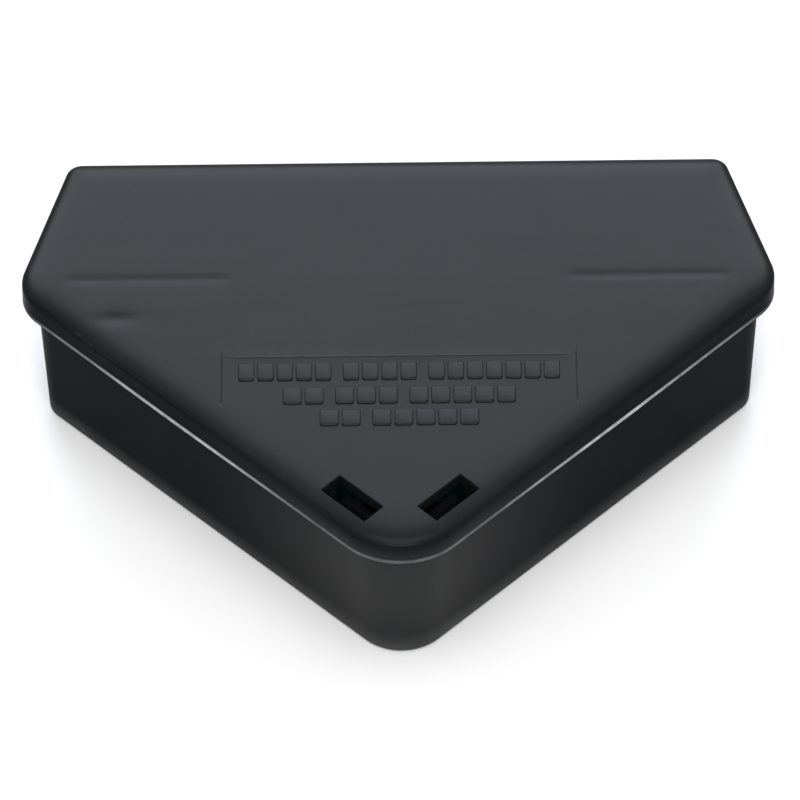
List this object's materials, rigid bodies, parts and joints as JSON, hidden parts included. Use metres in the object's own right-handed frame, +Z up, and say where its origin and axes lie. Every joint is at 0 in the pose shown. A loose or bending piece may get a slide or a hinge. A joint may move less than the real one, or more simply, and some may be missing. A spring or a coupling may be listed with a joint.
{
  "type": "mouse bait station",
  "caption": "Five-sided plastic bait station: hinged lid with two key slots over sprung latches, side entries, baffled run and bait blocks on rods.",
  "frame": {"origin": "centre of the object's footprint box, on the surface it stands on", "axes": "+X to the right across the widest part, +Y towards the hinge, -Y towards the pointed front, +Z up"},
  "size_m": [0.1498, 0.1082, 0.0373],
  "materials": {
    "shell": "satin black moulded polypropylene",
    "latch": "black moulded acetal",
    "steel": "zinc-plated wire",
    "bait": "pressed waxy grain block"
  },
  "bodies": {
    "base": {"base_tray": "shell", "hinge_pin_left": "steel", "hinge_pin_right": "steel", "bait_rod_left": "steel", "bait_rod_right": "steel"},
    "lid": {"lid": "shell"},
    "latch_left": {"latch_left": "latch"},
    "latch_right": {"latch_right": "latch"},
    "bait_block_left": {"bait_block_left": "bait"},
    "bait_block_right": {"bait_block_right": "bait"}
  },
  "joints": [
    {"name": "lid_hinge", "type": "hinge", "parent": "base", "child": "lid", "pos_m": [0, 0.05152, 0.028], "axis": [-1, 0, 0], "range_deg": [0, 110]},
    {"name": "latch_left_flex", "type": "hinge", "parent": "base", "child": "latch_left", "pos_m": [-0.00718, -0.03984, 0.0048], "axis": [-0.7071, 0.7071, 0], "range_deg": [0, 8], "stiffness_Nm_per_rad": 0.3},
    {"name": "latch_right_flex", "type": "hinge", "parent": "base", "child": "latch_right", "pos_m": [0.00718, -0.03984, 0.0048], "axis": [-0.7071, -0.7071, 0], "range_deg": [0, 8], "stiffness_Nm_per_rad": 0.3},
    {"name": "bait_left_turn", "type": "hinge", "parent": "base", "child": "bait_block_left", "pos_m": [-0.02, -0.002, 0.016], "axis": [0, 0, 1], "continuous": true},
    {"name": "bait_right_turn", "type": "hinge", "parent": "base", "child": "bait_block_right", "pos_m": [0.02, -0.002, 0.016], "axis": [0, 0, 1], "continuous": true}
  ]
}
